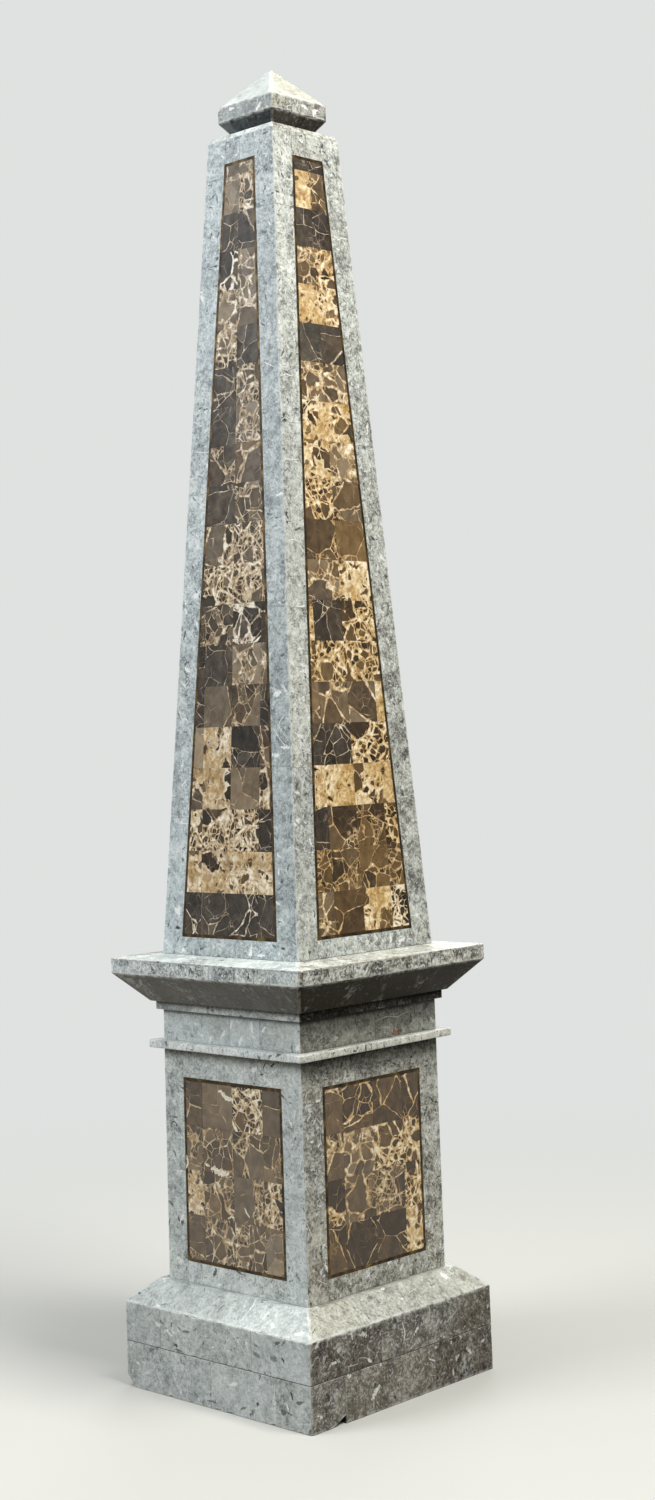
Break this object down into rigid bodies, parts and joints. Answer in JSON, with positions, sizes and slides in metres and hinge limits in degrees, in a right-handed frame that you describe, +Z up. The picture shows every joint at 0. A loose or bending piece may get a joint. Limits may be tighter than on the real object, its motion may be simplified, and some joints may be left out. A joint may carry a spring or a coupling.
{
  "type": "tabletop obelisk",
  "caption": "Tabletop obelisk faced in grey stone: bevelled plinth, panelled base, cornice and a tapering shaft with inlaid marble panels, topped by a low pyramid cap.",
  "frame": {"origin": "centre of the underside of the plinth", "axes": "+Z up along the obelisk's centre line, front faces -Y, right side faces +X"},
  "size_m": [0.2474, 0.2474, 1.2192],
  "materials": {
    "honed_stone": "honed tessellated fossil stone, mid grey, matt",
    "polished_marble": "polished dark brown breccia marble with cream and gold veins",
    "brass_stringing": "aged dark brass strip",
    "timber_core": "plain timber core, hidden"
  },
  "bodies": {
    "root": {"belt_moulding": "honed_stone", "cap_band": "honed_stone", "cap_pyramid": "honed_stone", "cap_soffit": "honed_stone", "closing_slab": "honed_stone", "cornice_band": "honed_stone", "cornice_soffit": "honed_stone", "cornice_top": "honed_stone", "dado_core": "timber_core", "dado_frame_back": "honed_stone", "dado_frame_front": "honed_stone", "dado_frame_left": "honed_stone", "dado_frame_right": "honed_stone", "dado_inlay_back": "polished_marble", "dado_inlay_front": "polished_marble", "dado_inlay_left": "polished_marble", "dado_inlay_right": "polished_marble", "dado_stringing_back": "brass_stringing", "dado_stringing_front": "brass_stringing", "dado_stringing_left": "brass_stringing", "dado_stringing_right": "brass_stringing", "fillet_strip": "honed_stone", "frieze": "honed_stone", "plinth_back": "honed_stone", "plinth_bevel_back": "honed_stone", "plinth_bevel_front": "honed_stone", "plinth_bevel_left": "honed_stone", "plinth_bevel_right": "honed_stone", "plinth_core": "timber_core", "plinth_front": "honed_stone", "plinth_left": "honed_stone", "plinth_right": "honed_stone", "shaft_core": "timber_core", "shaft_frame_back": "honed_stone", "shaft_frame_front": "honed_stone", "shaft_frame_left": "honed_stone", "shaft_frame_right": "honed_stone", "shaft_inlay_back": "polished_marble", "shaft_inlay_front": "polished_marble", "shaft_inlay_left": "polished_marble", "shaft_inlay_right": "polished_marble", "shaft_stringing_back": "brass_stringing", "shaft_stringing_front": "brass_stringing", "shaft_stringing_left": "brass_stringing", "shaft_stringing_right": "brass_stringing"}
  },
  "joints": []
}
